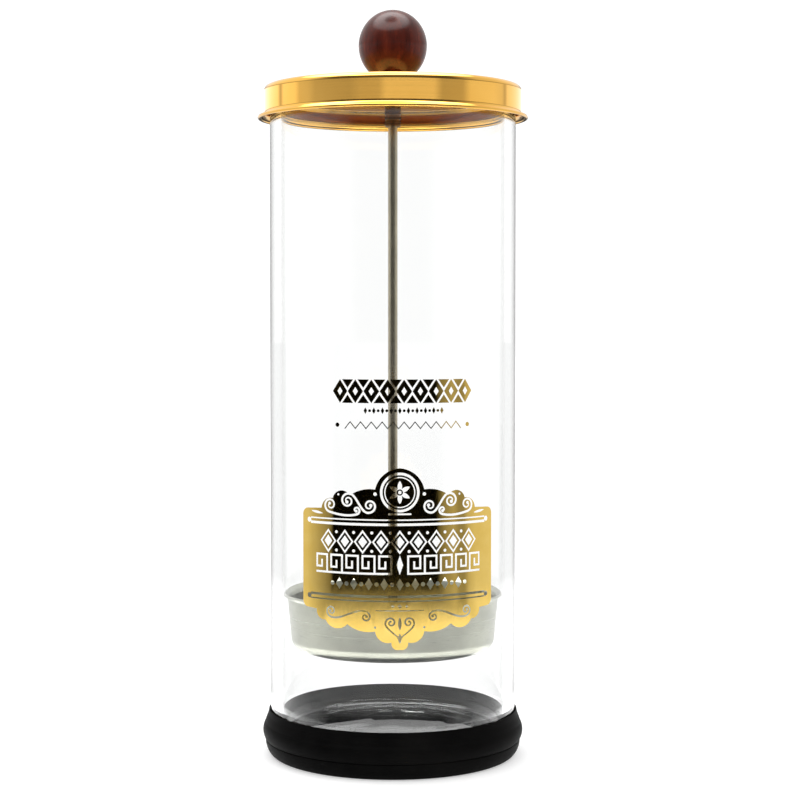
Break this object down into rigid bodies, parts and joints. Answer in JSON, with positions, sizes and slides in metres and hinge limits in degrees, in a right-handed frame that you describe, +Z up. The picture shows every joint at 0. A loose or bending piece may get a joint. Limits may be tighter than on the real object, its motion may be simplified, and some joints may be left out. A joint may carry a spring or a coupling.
{
  "type": "disinfectant jar",
  "caption": "Tall glass cylinder in a rubber boot, with a metal lid whose ball knob lifts a rod and a shallow basket for soaking combs and tools.",
  "frame": {"origin": "centre of the rubber boot's foot, on the surface the jar stands on", "axes": "+Z up along the jar's axis; the labelled front faces -Y; +X is to the right when looking at the front"},
  "size_m": [0.099, 0.099, 0.2734],
  "materials": {
    "base_rubber": "satin",
    "clear_glass": "polished",
    "gold_foil": "mirror foil",
    "gold_metal": "polished",
    "seal_silicone": "satin",
    "knob_wood": "lacquered",
    "insert_brass": "machined",
    "satin_steel": "satin",
    "collar_steel": "dark satin"
  },
  "bodies": {
    "jar": {"rubber_base": "base_rubber", "glass_jar": "clear_glass", "front_label": "gold_foil", "upper_label": "gold_foil"},
    "lid": {"lid_shell": "gold_metal", "lid_seal": "seal_silicone"},
    "rack": {"knob": "knob_wood", "knob_insert": "insert_brass", "knob_washer": "gold_metal", "lift_rod": "satin_steel", "lid_washer": "collar_steel", "rod_collar": "collar_steel", "basket": "satin_steel", "basket_upper_washer": "satin_steel", "basket_upper_nut": "satin_steel", "basket_lower_washer": "satin_steel", "basket_lower_nut": "satin_steel"}
  },
  "joints": [
    {"name": "lid_lift", "type": "slide", "parent": "jar", "child": "lid", "axis": [0, 0, 1], "range_m": [0, 0.22]},
    {"name": "rack_turn", "type": "hinge", "parent": "lid", "child": "rack", "pos_m": [0, 0, 0.2455], "axis": [0, 0, 1], "continuous": true}
  ]
}
